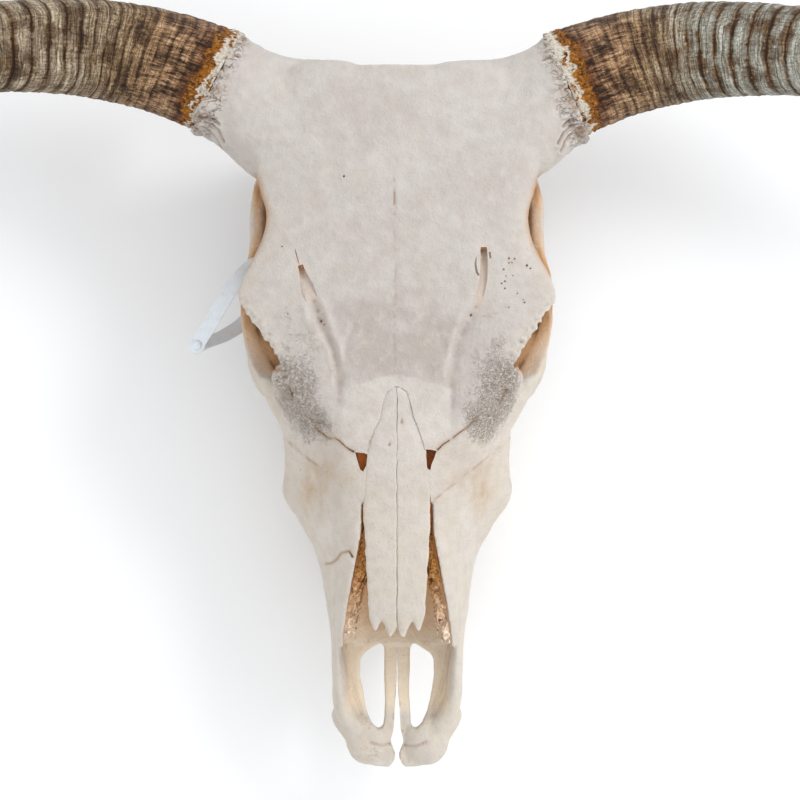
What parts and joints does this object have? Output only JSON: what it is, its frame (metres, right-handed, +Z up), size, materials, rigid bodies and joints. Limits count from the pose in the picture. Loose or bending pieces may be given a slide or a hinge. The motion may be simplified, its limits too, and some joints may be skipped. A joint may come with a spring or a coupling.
{
  "type": "longhorn cattle skull",
  "caption": "Life-size longhorn cattle skull with wide upswept horns, its cheek teeth, and a bare loop tag round one cheek arch; it lies face up.",
  "frame": {"origin": "on the surface that the skull lies on, under the middle of its bounding box", "axes": "+X towards the skull's own left horn tip, +Y from the muzzle towards the poll, +Z up, out of the forehead"},
  "size_m": [1.3638, 0.5946, 0.318],
  "materials": {
    "bone": "matt, bleached and faintly mottled",
    "scroll_bone": "matt, spongy and stained",
    "horn": "rough growth rings, satin towards the tips",
    "tag_metal": "satin"
  },
  "bodies": {
    "root": {"cranium": "bone", "occiput": "bone", "lacrimal_left": "bone", "lacrimal_right": "bone", "zygomatic_left": "bone", "zygomatic_right": "bone", "maxilla_left": "bone", "maxilla_right": "bone", "nasal_left": "bone", "nasal_right": "bone", "premaxilla_left": "bone", "premaxilla_right": "bone", "turbinate_left": "scroll_bone", "turbinate_right": "scroll_bone", "horn_left": "horn", "horn_right": "horn", "tag_band": "tag_metal", "tag_rivet": "tag_metal"}
  },
  "joints": []
}
